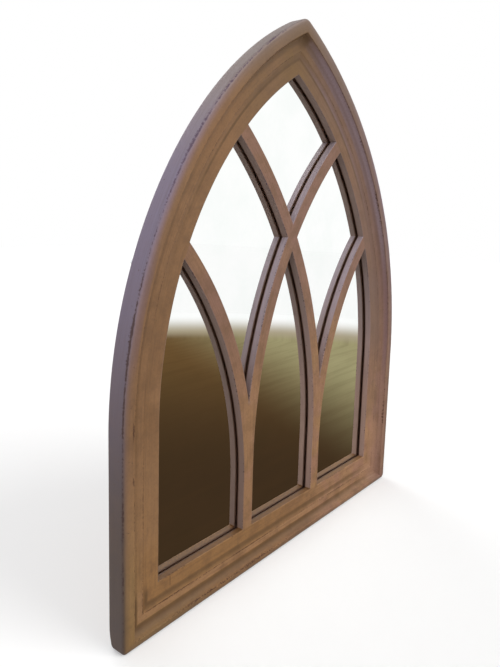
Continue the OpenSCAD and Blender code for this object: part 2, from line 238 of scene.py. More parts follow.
# %% [markdown]
# ## Patches and members
# A member is a patch of both reliefs, closed by walls. Its grid has rows along the member and columns across
# it, close together where the section turns. Each vertex also carries two little records for the paint: its
# place along and across the member, so that the brush marks follow the wood, and how near it is to an arris, a
# hollow or a wall.


# %% Marks that the paint reads
def paint_marks(x, z, on_wall):
    """Three numbers from 0 to 1 for each vertex: nearness to a worn arris, depth in a hollow, and being on a
    wall that faces sideways. A bell curve over the distance gives the first and last, and a sine over the
    hollow's width the second."""
    u, edge, wood = outside_opening(x, z), inside_outline(x, z), inside_wood(x, z)
    wave = lambda a, b: np.sin(np.pi * np.clip((u - a) / (b - a), 0, 1) ** 0.7)
    # How much each line along the members is worn: more on the left, where the mirror is taken hold of
    left, middle, upper = x < 0, bell(z - 0.33, 0.15), bell(z - 0.55, 0.08)
    band_edge = np.where(z < SILL_Z, 0.68, np.where(left, 0.5, 0.36 + 0.3 * middle))
    rim_inside = np.where(left, 0.5 + 0.25 * middle, 0.3 + 0.15 * middle)
    rim_outside = np.where(left, 0.42 + 0.45 * middle + 0.27 * upper, 0.32)
    worn = np.max([0.42 * bell(wood, 0.6 * MM), band_edge * bell(u - BAND, 0.7 * MM),
                   rim_inside * bell(u - RIM, 0.9 * MM), rim_outside * bell(edge - 0.9 * MM, 0.9 * MM)], axis=0)
    # Two spots on the left stile's rim are rubbed to the stain
    rubs = np.maximum(1.1 * bell(z - 0.238, 12 * MM), 0.9 * bell(z - 0.187, 5 * MM))
    worn = np.maximum(worn, bell(u - 46 * MM, 1.5 * MM) * rubs * left)
    hollowed = np.maximum(0.8 * wave(BORDER, BAND), wave(COVE, RIM))
    walled = np.maximum(bell(wood, 0.6 * MM), 0.5 * bell(edge, 2.4 * MM) + 0.5 * bell(edge, 7.5 * MM))
    on_sill = (np.abs(x) < HALF_W) & (z < SILL_Z + 0.2 * MM) & (z > SILL_Z - MM)
    return np.stack([worn * (1 - on_wall), hollowed, np.maximum(walled, on_wall) * (1 - on_sill)], axis=-1)


print("worn, hollowed and walled in the left cove:", paint_marks(np.array(-HALF_W - 38 * MM), 0.15, 0.0).round(2))

# %% [markdown]
# Every member is a closed shell of the same plan, so its faces follow from the numbers of rows and columns alone.
# A Solidify modifier could give a sheet its thickness, but the back has a relief of its own. The walls have rings
# between front and back, because a mark that fades over a wall needs vertices there.


# %% The faces of a closed shell
# Where the rings lie, as shares of the way from the front to the back
WALL_RINGS = (0.12, 0.4, 0.75)


def squares(n):
    """Every square of a grid of vertex numbers as four corners: down, over, up and back again."""
    return np.stack([n[:-1, :-1], n[1:, :-1], n[1:, 1:], n[:-1, 1:]], -1).reshape(-1, 4)


def shell_faces(rows, cols):
    """Faces over a member's vertices, which are counted row by row: the front sheet, the back sheet, and the
    rings of the two long sides. Sheets are grids of squares, and walls are strips of squares from ring to ring.
    Each end is a strip too, whose two outermost faces reach round the rings."""
    front = np.arange(rows * cols).reshape(rows, cols)
    back = front + rows * cols
    rings = 2 * rows * cols + np.arange(2 * len(WALL_RINGS) * rows).reshape(2, len(WALL_RINGS), rows)
    low, high = (np.stack([front[:, i], *ring, back[:, i]]) for i, ring in zip((0, -1), rings))
    first, last = (np.stack([front[i, 1:-1], back[i, 1:-1]]) for i in (0, -1))
    turned, rolled = [0, 3, 2, 1], [3, 0, 1, 2]
    quads = [squares(front), squares(back)[:, turned], squares(first)[:, turned], squares(last)[:, rolled],
             squares(low), squares(high)[:, turned]]
    ends = [[front[0, 0], front[0, 1], back[0, 1], *low[:0:-1, 0]], [front[0, -2], *high[:, 0], back[0, -2]],
            [front[-1, 1], *low[:, -1], back[-1, 1]], [front[-1, -1], front[-1, -2], back[-1, -2], *high[:0:-1, -1]]]
    return [list(map(int, face)) for face in np.concatenate(quads).tolist() + ends]


print("a shell of 3 rows and 4 columns has", len(shell_faces(3, 4)), "faces")


# %% A closed member from one patch
SHARP_TURN = math.radians(38)
members = {}


def in_scene(data):
    """Puts a mesh, a lamp or a camera into the scene, as an object of the same name."""
    obj = bpy.data.objects.new(data.name, data)
    bpy.context.scene.collection.objects.link(obj)
    return obj


def member(name, x, z, along, across, front=None, back=None):
    """Closed shell over a grid of places (x, z): the front and back reliefs over it, walls along its two long
    sides in a few rings, and a strip of faces over each end. front and back replace a relief where a joint
    cuts into it. The faces are turned round where rows and columns run the other way about, which the sum of
    the squares' areas tells by its sign."""
    rows, cols = x.shape
    yf = front_relief(x, z) if front is None else front
    yb = back_relief(x, z) if back is None else back
    slender = 0 * x + name.endswith(("bar_painted", "mullion_painted"))
    sheets = [np.stack([x, yf, z], -1), np.stack([x, yb, z], -1)]
    marks = [paint_marks(x, z, 0.0), paint_marks(x, z, 1.0)]
    grain = [np.stack([along, across, slender], -1)] * 2
    for side in (0, cols - 1):
        for t in WALL_RINGS:
            y = yf[:, side] + t * (yb - yf)[:, side]
            sheets.append(np.stack([x[:, side], y, z[:, side]], -1))
            marks.append(paint_marks(x[:, side], z[:, side], 1.0))
            grain.append(np.stack([along[:, side], across[:, side] + y - yf[:, side], slender[:, side]], -1))
    faces = shell_faces(rows, cols)
    (x_down, z_down), (x_over, z_over) = ([np.diff(v, axis=axis) for v in (x, z)] for axis in (0, 1))
    if (z_down[:, :-1] * x_over[:-1] - x_down[:, :-1] * z_over[:-1]).sum() > 0:
        faces = [face[::-1] for face in faces]
    mesh = bpy.data.meshes.new(name)
    mesh.from_pydata(np.concatenate([sheet.reshape(-1, 3) for sheet in sheets]), [], faces)
    for key, values in (("grain", grain), ("marks", marks)):
        layer = mesh.attributes.new(key, "FLOAT_VECTOR", "POINT")
        layer.data.foreach_set("vector", np.concatenate([v.reshape(-1, 3) for v in values]).ravel())
    mesh.shade_smooth()
    mesh.set_sharp_from_angle(angle=SHARP_TURN)
    obj = in_scene(mesh)
    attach(obj, "mirror")
    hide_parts(name.replace("_painted", ""))
    members[name] = obj
    print(f"{name}: {rows} rows of {cols} columns, {len(faces)} faces")


# %% [markdown]
# Columns lie close together at each arris and in each hollow, and far apart on the flats. Rows lie 2.5 mm apart,
# which is fine enough for the unevenness, and closer at the base, where the rim's edge turns the corner.


# %% Columns across and rows along
def arc_steps(r, n=6):
    """Distances from a rounded edge of radius r at which it has turned by equal angles."""
    return r * (1 - np.cos(np.linspace(0, np.pi / 2, n)))


def columns(width):
    """Distances across a moulding of that width: the pane's arris, the flats and hollows, and the outer edge."""
    # The columns over flats and hollows, in millimetres from the pane
    flats = [2, 4, 6, 8, 10, 12, 13.9, 14, 15, 15.4, 15.7, 16.1, *np.linspace(16.8, 24.2, 10), 24.6, 24.9, 25.2,
             25.6, 27, 29, 31, 32.6, 33, 33.4, *np.linspace(34, 43, 16), 43.4, 43.7, 44, 44.3, 44.7, 46]
    past = np.arange(48, (width - RIM_EASE) / MM - 0.5, 2)
    return np.concatenate([arc_steps(ARRIS), np.array([*flats, *past]) * MM, width - arc_steps(RIM_EASE, 8)[::-1]])


def rows(length, step=2.5 * MM):
    """Fractions from 0 to 1 in steps of about step over that length."""
    return np.linspace(0, 1, max(int(round(length / step)), 2) + 1)[:, None]


# Where each kind of member starts in the grain's noise, in metres, so that no two share their brush marks
RIGHT_GRAIN, MULLION_GRAIN, SHORT_GRAIN, LONG_GRAIN = 3, 5, 8, 12
print("columns across a stile:", len(columns(STILE_W)), "across the rail:", len(columns(RAIL_W)))

# %% [markdown]
# ## The frame
# The rail and the stiles are straight and meet in mitres. The curved members are cut from boards in two lengths a
# side, because a board is only strong along its grain, and they meet on the middle line at the point.

# %% The bottom rail
u = columns(RAIL_W)[None, :]
s = 2 * rows(2 * HALF_OUT) - 1
x = s * (HALF_W + u)
member("bottom_rail_painted", x, SILL_Z - u + 0 * x, x, u + 0 * x)

# %% The stiles
u = columns(STILE_W)[None, :]
# Rows as shares of the height: close together over the lowest 6 mm, where the rim's edge turns the corner
near_base = np.array([0, 0.1, 0.3, 0.6, 1, 1.6, 2.4, 3.4, 4.6, 6])[:, None] * MM / SPRING_Z
s = np.concatenate([near_base, near_base[-1] + (1 - near_base[-1]) * rows(SPRING_Z)[1:]])
for side, word, r in ((1, "left", CORNER_R), (-1, "right", RUBBED_R)):
    turned = np.maximum(u - STILE_W + r, 0)
    foot = np.maximum(SILL_Z - u, 0) + r - np.sqrt(r**2 - np.minimum(turned, r) ** 2)
    z = foot + s * (SPRING_Z - foot)
    along = z - SPRING_Z + RIGHT_GRAIN * (side < 0)
    member(f"{word}_stile_painted", -side * (HALF_W + u) + 0 * z, z, along, u + 0 * z)


# %% The curved members
MIDDLE_R = 485 * MM


def arch_patch(a0, a1):
    """Places on the left arch between two angles up from the springing: the far middle, less the radius times the
    cosine, and the springing line plus the radius times the sine."""
    t = rows(MIDDLE_R * float(np.max(a1 - a0)))
    a = a0 + t * (a1 - a0)
    r = ARCH_R + u
    x, z = ARC_X - r * np.cos(a), SPRING_Z + r * np.sin(a)
    # In the tip's wedge each column runs on its own circle about the middle of the tip's arc
    out = np.where(at_tip(x, z) & (STILE_W - u < TIP_R), (TIP_R - STILE_W + u) / np.hypot(x, z - TIP_Z), 1)
    return x * out, TIP_Z + (z - TIP_Z) * out, MIDDLE_R * a, u + 0 * a


point = np.arccos(ARC_X / (ARCH_R + u))
for side, word in ((1, "left"), (-1, "right")):
    for part, a0, a1 in (("lower", 0 * u, SPLICE + 0 * u), ("upper", SPLICE + 0 * u, point)):
        x, z, along, across = arch_patch(a0, a1)
        member(f"{word}_{part}_arch_painted", side * x, z, along + RIGHT_GRAIN * (side < 0), across)
print("angle at the point:", round(math.degrees(float(point[0, 0])), 1), "degrees")

# %% [markdown]
# ## The tracery
# Each mullion widens into a fork, whose head is cut level where its two bars part. From there a short bar runs
# to the near side of the arch and a long bar to the far side. The long bars cross in a halved joint: the left one
# keeps its front half and the right one its back half, so the crossing is flush.

# %% The mullions
EDGE_SHARE = 0.17
w = np.concatenate([arc_steps(ARRIS), np.linspace(1.6, 8, 5) * MM])
w = np.concatenate([w, [HALF_BAR], 2 * HALF_BAR - w[::-1]]) / (2 * HALF_BAR)
z = SILL_Z + rows(FORK_Z - SILL_Z) * (FORK_Z - SILL_Z)


def upright_edge(z, centre, radius, start_z, sign):
    """A bar's edge as x over z: upright up to start_z, then on its circle."""
    bent = centre[0] + sign * np.sqrt(radius**2 - np.maximum(z - centre[1], 0) ** 2)
    return np.where(z > start_z, bent, centre[0] + sign * radius)


left_edge = upright_edge(z, SHORT_C, SHORT_R - HALF_BAR, SHORT_Z, 1)
right_edge = upright_edge(z, LONG_C, LONG_R - HALF_BAR, LONG_Z, -1)
# Near an edge the columns keep their real distance from it, and the rest share the widening
share = w[None, :]
spread = (right_edge - left_edge - 2 * HALF_BAR) * np.clip((share - EDGE_SHARE) / (1 - 2 * EDGE_SHARE), 0, 1)
x = left_edge + share * 2 * HALF_BAR + spread
z = z + 0 * x
for side, word in ((1, "left"), (-1, "right")):
    member(f"{word}_mullion_painted", side * x, z, z + MULLION_GRAIN - side, x + MULLION_X)

# %% The short bars
across = (2 * w - 1) * HALF_BAR
rho = SHORT_R + across
foot = np.arcsin((FORK_Z - SHORT_Z) / rho)
end_x, end_z = circles_meet(SHORT_C, rho, (ARC_X, SPRING_Z), ARCH_R, -1)
head = np.arctan2(end_z - SHORT_Z, end_x - SHORT_C[0])
a = foot + rows(SHORT_R * float((head - foot).max())) * (head - foot)
x, z = SHORT_C[0] + rho * np.cos(a), SHORT_Z + rho * np.sin(a)
for side, word in ((1, "left"), (-1, "right")):
    member(f"{word}_short_bar_painted", side * x, z, SHORT_R * a + SHORT_GRAIN - side, across + 0 * a)
print("short bar:", round(float(SHORT_R * (head - foot).mean()) / MM, 1), "mm long, ends at",
      [round(float(v) / MM, 1) for v in (x[-1, len(across) // 2], z[-1, len(across) // 2])])

# %% The long bars
LAP_GAP, LAP_STEP = 0.05 * MM, 0.02 * MM
rho = LONG_R + across
foot = np.arcsin((FORK_Z - LONG_Z) / rho)


def long_angle(x, z):
    """Angle up a left-hand long bar's arc of a place on it."""
    return np.arctan2(z - LONG_Z, LONG_C[0] - x)


head = long_angle(*circles_meet(LONG_C, rho, (-ARC_X, SPRING_Z), ARCH_R, 1))
other = (-LONG_C[0], LONG_Z)
enter, leave = sorted((long_angle(*circles_meet(LONG_C, rho, other, LONG_R + d * HALF_BAR, 1)) for d in (-1, 1)),
                      key=lambda b: float(b.mean()))
# Up to the crossing, over it, and on to the arch. The steps into and out of the lap are a hair's breadth long
skin = LAP_STEP / LONG_R
legs = [(foot, enter), (enter + skin, leave - skin), (leave, head)]
a = [p + rows(LONG_R * float((q - p).max())) * (q - p) for p, q in legs]
lap = np.concatenate([np.full(len(v), i == 1) for i, v in enumerate(a)])[:, None]
a = np.concatenate(a)
x, z = LONG_C[0] - rho * np.cos(a), LONG_Z + rho * np.sin(a)
for side, word in ((1, "left"), (-1, "right")):
    yf, yb = front_relief(side * x, z), back_relief(side * x, z)
    if side > 0:
        yb = np.where(lap, MID_Y - LAP_GAP, yb)
    else:
        yf = np.where(lap, MID_Y + LAP_GAP, yf)
    member(f"{word}_long_bar_painted", side * x, z, LONG_R * a + LONG_GRAIN - side, across + 0 * a, yf, yb)
print("long bar:", round(float(LONG_R * (head - foot).mean()) / MM, 1), "mm long;", len(members), "members painted")

# %% [markdown]
# ## Shader maths in Python
# A node tree is easier to read as an expression. A small class wraps a socket and turns +, - and * into Math
# nodes, also where a plain number comes first, as in 1 - mask. Nearly every mask below is a smooth step or a
# stretch between two steps, so both have a method. Colours are mixed instead, as a Math node turns them grey.


# %% A socket that does maths
class Value:
    """A number that varies over a surface: a socket of a node tree, with Python's operators as Math nodes."""

    def __init__(self, nodes, socket):
        self.nodes, self.socket = nodes, socket

    def maths(self, operation, *others):
        return self.nodes.node("ShaderNodeMath", {"operation": operation}, dict(enumerate((self, *others))))

    def __add__(self, other):
        return self.maths("ADD", other)

    def __sub__(self, other):
        return self.maths("SUBTRACT", other)

    def __rsub__(self, other):
        return (self * -1) + other

    def __mul__(self, other):
        return self.maths("MULTIPLY", other)

    __radd__, __rmul__ = __add__, __mul__

    def at_most(self, other):
        return self.maths("MINIMUM", other)

    def at_least(self, other):
        return self.maths("MAXIMUM", other)

    def step(self, low, high, unit=1.0):
        """0 below low, 1 above high, and a smooth rise between them. Both are given in that unit."""
        return self.nodes.node("ShaderNodeMapRange", {"interpolation_type": "SMOOTHSTEP"},
                               {"Value": self, "From Min": low * unit, "From Max": high * unit})

    def between(self, low, rise, fall, high, unit=1.0):
        """1 from rise to fall, 0 below low and above high, and smooth slopes: one step times 1 less another."""
        return self.step(low, rise, unit) * (1 - self.step(fall, high, unit))


print("a value's own methods:", [name for name in vars(Value) if not name.startswith("_")])

# %% [markdown]
# One method makes every node, from its type, its settings and its inputs, and the short methods after it name
# the kinds that the finishes use. A finish is painted on in coats: a coat is a colour and a share from 0 to 1,
# which says how much it covers of what lies below.


# %% Node trees and finishes
def srgb(r, g, b):
    """A colour given as it shows on a screen, from 0 to 255, as linear light."""
    v = np.array([r, g, b]) / 255
    return (*np.where(v < 0.04045, v / 12.92, ((v + 0.055) / 1.055) ** 2.4).tolist(), 1.0)


class Nodes:
    """A node tree whose nodes are made by short calls."""

    def __init__(self, tree):
        self.tree = tree

    def node(self, kind, settings=None, inputs=None, output=0):
        """Makes a node, sets its settings, then its inputs, which are values or links, and returns one output."""
        made = self.tree.nodes.new(kind)
        for key, value in (settings or {}).items():
            setattr(made, key, value)
        for key, value in (inputs or {}).items():
            self.feed(made.inputs[key], value)
        return Value(self, made.outputs[output])

    def feed(self, socket, value):
        """Links a value to a socket, or sets the socket where the value is a plain number or colour."""
        if isinstance(value, Value):
            self.tree.links.new(value.socket, socket)
        else:
            socket.default_value = value

    def rays(self, kind):
        """1 for the light rays of one kind, such as Camera or Glossy, and 0 for all others."""
        return self.node("ShaderNodeLightPath", output=f"Is {kind} Ray")


class Finish(Nodes):
    """A material for one kind of surface. Its tone starts as the ground colour, and coats are laid over it."""

    def __init__(self, name, ground=None, **constants):
        self.material = bpy.data.materials.new(name)
        self.material.use_nodes = True
        super().__init__(self.material.node_tree)
        self.tone = ground
        self.wear(**constants)

    def attribute(self, name):
        return self.node("ShaderNodeAttribute", {"attribute_name": name}, output="Vector")

    def part(self, vector, axis):
        return self.node("ShaderNodeSeparateXYZ", inputs={0: vector}, output=axis)

    def place(self):
        return self.node("ShaderNodeTexCoord", output="Object")

    def stretched(self, vector, scale):
        return self.node("ShaderNodeVectorMath", {"operation": "MULTIPLY"}, {0: vector, 1: scale})

    def noise(self, vector, scale, detail=3.0, roughness=0.55):
        return self.node("ShaderNodeTexNoise", {}, {"Vector": vector, "Scale": scale, "Detail": detail,
                                                    "Roughness": roughness})

    def mix(self, share, a, b):
        return self.node("ShaderNodeMix", {"data_type": "RGBA"}, {0: share, 6: a, 7: b}, 2)

    def coat(self, share, colour):
        """Lays a colour over the tone so far, and covers as much of it as share says."""
        self.tone = self.mix(share, self.tone, colour)

    def bump(self, height, distance, strength=1.0):
        return self.node("ShaderNodeBump", {}, {"Height": height, "Distance": distance, "Strength": strength})

    def wear(self, **sockets):
        """Feeds the surface shader's sockets, whose names have _ for a space, and returns the material."""
        for name, value in sockets.items():
            self.feed(self.tree.nodes["Principled BSDF"].inputs[name.replace("_", " ")], value)
        return self.material


print("mid grey as linear light:", [round(v, 3) for v in srgb(128, 128, 128)])

# %% [markdown]
# ## The paint
# The real finish is a thin brown paint over a dark stain, rubbed down by hand. A flat picture laid on the wood
# would stretch in the hollows, so the paint is worked out at each place from the marks on the vertices, the place
# in the mirror, and noise. Noise that is stretched along the grain gives brush streaks.

# %% What the coats of paint read
paint = Finish("worn brown paint", Specular_IOR_Level=0.3)
grain, place = paint.attribute("grain"), paint.place()
across, slender = paint.part(grain, "Y"), paint.part(grain, "Z")
worn, hollowed, walled = (paint.part(paint.attribute("marks"), axis) for axis in "XYZ")
aside, depth, height = (paint.part(place, axis) for axis in "XYZ")
facing_up = paint.part(paint.node("ShaderNodeNewGeometry", output="Normal"), "Z")


def brushed(along, over, *texture):
    """Noise that follows the wood, with that many grains in a metre along the member and over it."""
    return paint.noise(paint.stretched(grain, (along, over, 0)), 1.0, *texture)


def laid(what):
    """Prints how many nodes the paint takes so far."""
    print("paint with", what, "takes", len(paint.tree.nodes), "nodes")


clouds, mottle = paint.noise(place, 6.0, 3.0), paint.noise(place, 55.0, 4.0, 0.6)
streaks, fine = brushed(12, 330, 4.0, 0.6), brushed(60, 2400, 3.0, 0.65)
laid("nothing on it yet")

# %% [markdown]
# Hands, light and age have not treated the mirror alike all over, so several coats belong to a part of it. Each
# such region is a smooth mask, made from the place, and the coats fade in and out with it.

# %% Regions of the mirror
low = 1 - height.step(0.06, 0.2)
rail = 1 - height.step(44, 60, MM)
leftward = (1 - aside.step(-0.14, -0.08)) * (1 - rail)
# The right-hand side begins further to the left high up, where the arch leans in
rightward = aside + height.step(0.45, 0.62) * 0.07
on_right = rightward.step(0.05, 0.14)
right_stile = aside.step(0.235, 0.262) * (1 - height.step(0.25, 0.45))
laid("the regions")

# %% [markdown]
# The ground is tan, more golden low down. It turns rosy in clouds, on the tracery and towards the right. Peach lies
# in patches, on the flat band along the rail, and low on the right, where it is painted warm light. The point is a
# duller, darker olive brown, which is painted shade, and the rim on the right leans to violet, which is painted cool
# light.

# %% The ground
paint.tone = paint.mix(low, srgb(135, 99, 65), srgb(153, 112, 68))
rosy = (clouds * 1.3 + aside * 0.9 + slender * 0.45 - 0.3).step(0.1, 0.8)
paint.coat(rosy, paint.mix(height.step(0.2, 0.4), srgb(141, 104, 79), srgb(139, 103, 87)))

# Painted warm light, low on the right
painted_warm_light = (aside + slender * 0.2).step(0.02, 0.18) * (1 - height.step(0.12, 0.37))
light = paint.noise(place, 9.0, 2.0).step(0.5, 0.8) * 0.5 + painted_warm_light * (mottle * 0.8 + 0.5)
light = light + across.between(24.4, 25.6, 32.4, 33.6, MM) * (rail * 0.6 + 0.1)
paint.coat(light.at_most(0.9), paint.mix(slender, srgb(174, 132, 95), srgb(167, 126, 84)))
# Rosier patches inside that painted warm light
paint.coat(paint.noise(place, 30.0, 2.0).step(0.42, 0.62) * painted_warm_light * 0.65, srgb(164, 120, 101))

# Painted shade: duller and darker towards the point, less on the tracery
painted_point_shade = (height * 1.1 + clouds * 0.5 - 0.25).step(0.42, 0.7) * (1 - slender * 0.8)
painted_point_shade = painted_point_shade * (aside.step(-0.06, -0.02) * 0.4 + 0.6)
paint.coat(painted_point_shade * 0.9, paint.mix(on_right, srgb(120, 90, 48), srgb(123, 94, 71)))

# Painted cool light: violet over the moulding on the right
painted_cool_light = rightward.step(0.05, 0.15) * across.step(8, 42, MM) * height.step(0.08, 0.3)
painted_cool_light = painted_cool_light.at_least(right_stile * across.step(18, 32, MM) * 0.8)
paint.coat(painted_cool_light * 0.55, srgb(116, 92, 94))
laid("the ground")

# %% [markdown]
# The brush leaves dark streaks along the grain, fine pale hairs between them, and a mottle where it was lifted.

# %% Brush marks
paint.coat(mottle.step(0.4, 0.7) * 0.45, srgb(110, 80, 53))
paint.coat(streaks.step(0.42, 0.72) * 0.42, srgb(108, 79, 55))
paint.coat(fine.step(0.56, 0.82) * 0.35, srgb(165, 131, 98))
laid("the brush marks")

# %% [markdown]
# Along the left arch the rim's outer part has a rosy painted highlight; the rim is greyer at the point and olive at
# the lower left corner. The hollows are darker: partly stain-dark paint that the rubbing never reached, and partly
# painted shade, brown on the left and low down, and on the right a greyer mauve that turns lavender high up, which
# is painted cool light. They are darkest along the rail and towards the point, and hardly show in the shallow hollow
# on the left and on the right stile.

# %% The rim and the hollows
# Painted highlight, rosy, on the outer part of the left arch's rim
painted_rim_highlight = height.between(0.28, 0.42, 0.54, 0.64) * (1 - aside.step(-0.12, -0.02))
paint.coat(painted_rim_highlight * across.step(50, 57, MM) * 0.75, srgb(142, 112, 110))
paint.coat(height.step(0.56, 0.64) * across.step(43, 46, MM) * 0.45, srgb(116, 95, 78))
corner = low * (1 - aside.step(-0.28, -0.12)) * across.step(20, 45, MM)
paint.coat(corner * 0.5, srgb(132, 107, 64))
paint.coat(corner * across.step(55, 59, MM) * 0.5, srgb(92, 76, 44))

# Painted shade together with stain in the hollows; on the right it turns lavender high up, as painted cool light
shaded = paint.mix(height.step(0.4, 0.52), srgb(112, 86, 78), srgb(128, 108, 112))
shaded = paint.mix(on_right * (1 - low), srgb(100, 73, 45), shaded)
rail_end = rail * (0.6 - aside.step(0.05, 0.25) * 0.3)
hollowed = hollowed * (mottle * 0.5 + rail_end + height.step(0.42, 0.6) * 0.3 + 0.1) * (1 - right_stile * 0.9)
hollowed = hollowed * (1 - leftward * (1 - across.step(25, 33, MM)) * 0.85)
paint.coat(hollowed.at_most(1.0), shaded)
laid("the rim and the hollows")

# %% [markdown]
# On the left, painted sunlight lies low down and high up, and the cove and the rim are browner at the springing. On
# the right the border is as dull as the cove, the deep side of the cove is paler and more violet with painted light,
# and painted sunlight lies on the foot of the stile.

# %% The left side and the right side
# Painted sunlight on the left, low down and high up
paint.coat(leftward * height.between(0.07, 0.12, 0.17, 0.24) * 0.4, srgb(156, 118, 82))
paint.coat(leftward * height.step(0.46, 0.54) * 0.25, srgb(164, 117, 76))
springing = leftward * height.between(0.28, 0.33, 0.39, 0.43)
paint.coat(springing * across.between(34, 38, 44, 46, MM) * 0.4, srgb(98, 70, 52))
paint.coat(springing * across.between(46, 49, 53, 57, MM) * 0.6, srgb(116, 88, 82))

even = height.step(0.1, 0.13) * 0.35 + height.between(0.2, 0.27, 0.34, 0.4) * 0.4
even = even * (1 - height.step(0.46, 0.56)) * aside.step(0.12, 0.18) * (1 - across.step(24, 36, MM))
paint.coat(even * (1 - slender), srgb(114, 90, 79))
# Painted light on the deep side of the right cove, in the rim's shade: warmer low down, violet higher up
pale = paint.mix(height.step(0.32, 0.46), srgb(136, 105, 103), srgb(148, 128, 134))
pale = paint.mix(height.step(0.14, 0.24), srgb(156, 119, 100), pale)
paint.coat(across.between(38.5, 42, 43.2, 44.2, MM) * on_right * (1 - rail) * 0.85, pale)
# Painted sunlight on the foot of the right stile
sunny = aside.step(0.2, 0.25) * (1 - height.step(0.09, 0.13)) * across.step(14, 17, MM)
paint.coat(sunny * (1 - across.step(30, 42, MM) * 0.7) * 0.5, srgb(172, 130, 102))
laid("both sides")

# %% [markdown]
# Painted shade darkens the crease at the foot of the step all round the arch, and the corner under the rim at the
# point.

# %% Painted shade at the step and the point
POINT_Z = 0.674
step_foot = across.between(14.6, 16.4, 17.5, 19.5, MM) * (1 - slender)
painted_crease_shade = step_foot * height.step(0.36, 0.56) * (mottle * 1.1 + 0.15)
# The square of the distance from the corner at the point, where the painted shade is full to 5.5 mm and gone by 15.5
# mm
far = aside * aside + (height - POINT_Z) * (height - POINT_Z)
painted_crease_shade = painted_crease_shade.at_least((1 - far.step(3e-5, 2.4e-4)) * (1 - across.step(42, 45, MM)) * 0.85)
paint.coat(painted_crease_shade.at_most(1.0), srgb(94, 67, 36))
laid("the settled stain")

# %% [markdown]
# Walls that face sideways take a greyer mauve, partly painted cool light. Round the outside it turns from grey-brown
# at the foot to lavender higher up: painted shade below and painted cool light above. Inside the openings it is
# lighter towards the right and where a wall faces up, and darker where it faces steeply up: painted light and shade
# by the way each wall faces. The sill's top is left out of that: it is brown, and darkest where it meets the glass,
# which is painted shade.

# %% The walls and the sill
# Painted shade at the foot of the outer walls, painted cool light higher up
outer = paint.mix(height.step(0.1, 0.48), srgb(78, 65, 61), srgb(129, 118, 138))
outer = paint.mix(height.step(0.48, 0.66), outer, srgb(142, 126, 121))
# Painted light inside the openings: lighter towards the right, and lavender on walls that face up higher up
inner = paint.mix(aside.step(-0.1, 0.15), srgb(126, 104, 95), srgb(158, 129, 117))
upper = paint.mix(facing_up.step(-0.5, 0.3), srgb(131, 112, 104), srgb(157, 142, 149))
inner = paint.mix(height.step(0.15, 0.38), inner, upper)
sides = paint.mix(across.step(40, 46, MM), inner, outer)
sides = paint.mix(streaks.step(0.4, 0.8) * 0.3, sides, srgb(98, 84, 84))
# Painted shade where a wall faces steeply up
sides = paint.mix(facing_up.step(0.6, 0.85) * 0.65, sides, srgb(108, 95, 92))
paint.coat(walled * (mottle * 0.2 + 0.85), sides)
sill = depth.step(-3.2, -2.4, MM) * (1 - walled.step(0.2, 0.5))
paint.coat(sill * 0.85, paint.mix(aside.step(-0.05, 0.18), srgb(96, 64, 34), srgb(114, 80, 46)))
# Painted shade on the sill where it meets the glass
paint.coat(sill * depth.step(3.2, 4.8, MM) * 0.7, srgb(62, 36, 16))
laid("the walls and the sill")

# %% [markdown]
# Dust in the paint shows as dark specks, short flecks along the grain, and an even grit. Then the rubbing: along
# an arris the stain shows in broken dashes, longer where a coarse noise and the vertex's mark both say that it is
# worn. A short crack runs down the rail from its upper edge, near the left end.

# %% Specks and worn arrises
flecks = brushed(70, 900, 2.0, 0.5).step(0.7, 0.76)
specks = (paint.noise(place, 300.0, 2.0, 0.5) + clouds * 0.1).step(0.76, 0.81)
paint.coat(specks.at_least(flecks * 0.7) * 0.6, srgb(84, 60, 46))
grit = paint.noise(place, 380.0, 3.0, 0.6).step(0.35, 0.75) * (1 - walled * 0.8)
paint.coat(grit * 0.22, srgb(92, 68, 52))

dashes, patches = brushed(330, 620, 5.0, 0.75), brushed(11, 11, 3.0)
bare = (worn * 0.75 + dashes * 1.7 + patches * 1.2 - 1.85).step(-0.05, 0.12) * worn.step(0.02, 0.15)
crack = aside.between(-222.6, -222.2, -221.7, -221.3, MM) * height.between(38, 40, 50, 51, MM)
stain = paint.mix(height.step(0.34, 0.5), srgb(66, 46, 42), srgb(84, 66, 82))
stain = paint.mix(walled.step(0.1, 0.4), srgb(74, 46, 30), stain)
paint.coat((bare * 0.88).at_least(crack * 0.85), stain)
laid("the wear")

# %% [markdown]
# The foot of each wall, where the wood meets the glass, is dark: partly wood that the brush missed and partly
# painted shade in that corner. The rebate that holds the glass is bare dark wood, as the back is. The paint is matt,
# and its streaks stand up a little. That relief is weaker on walls and on faces that look up, which the light
# grazes.

# %% Unpainted wood, painted shade at the glass, gloss and relief
# Dark foot of each wall by the glass, partly missed by the brush and partly painted shade, and the bare rebate
bare_wood_and_glass_shade = (depth.step(4.2, 4.9, MM) * walled.step(0.3, 0.6)).at_least(depth.step(5.5, 5.9, MM))
paint.coat(bare_wood_and_glass_shade * (1 - across.step(REBATE - MM, REBATE + MM) * (1 - slender)), srgb(88, 60, 46))
back = depth.step(8.5, 8.9, MM)
paint.coat(back, paint.mix(streaks.step(0.35, 0.7), srgb(118, 88, 62), srgb(86, 62, 44)))
rough = (streaks * 0.2 + 0.45 + bare * 0.1 + back * 0.2).at_most(0.85)
calm = (1 - walled * 0.7 - facing_up.step(0.1, 0.4) * 0.6).at_least(0.0)
relief = (streaks * 0.5 + fine * 0.35 + mottle * 0.3) * calm - bare * 0.5
paint.wear(Base_Color=paint.tone, Roughness=rough, Normal=paint.bump(relief, 0.25 * MM, 0.5))
for obj in members.values():
    obj.data.materials.append(paint.material)
print("paint:", len(paint.tree.nodes), "nodes, on", len(members), "members")

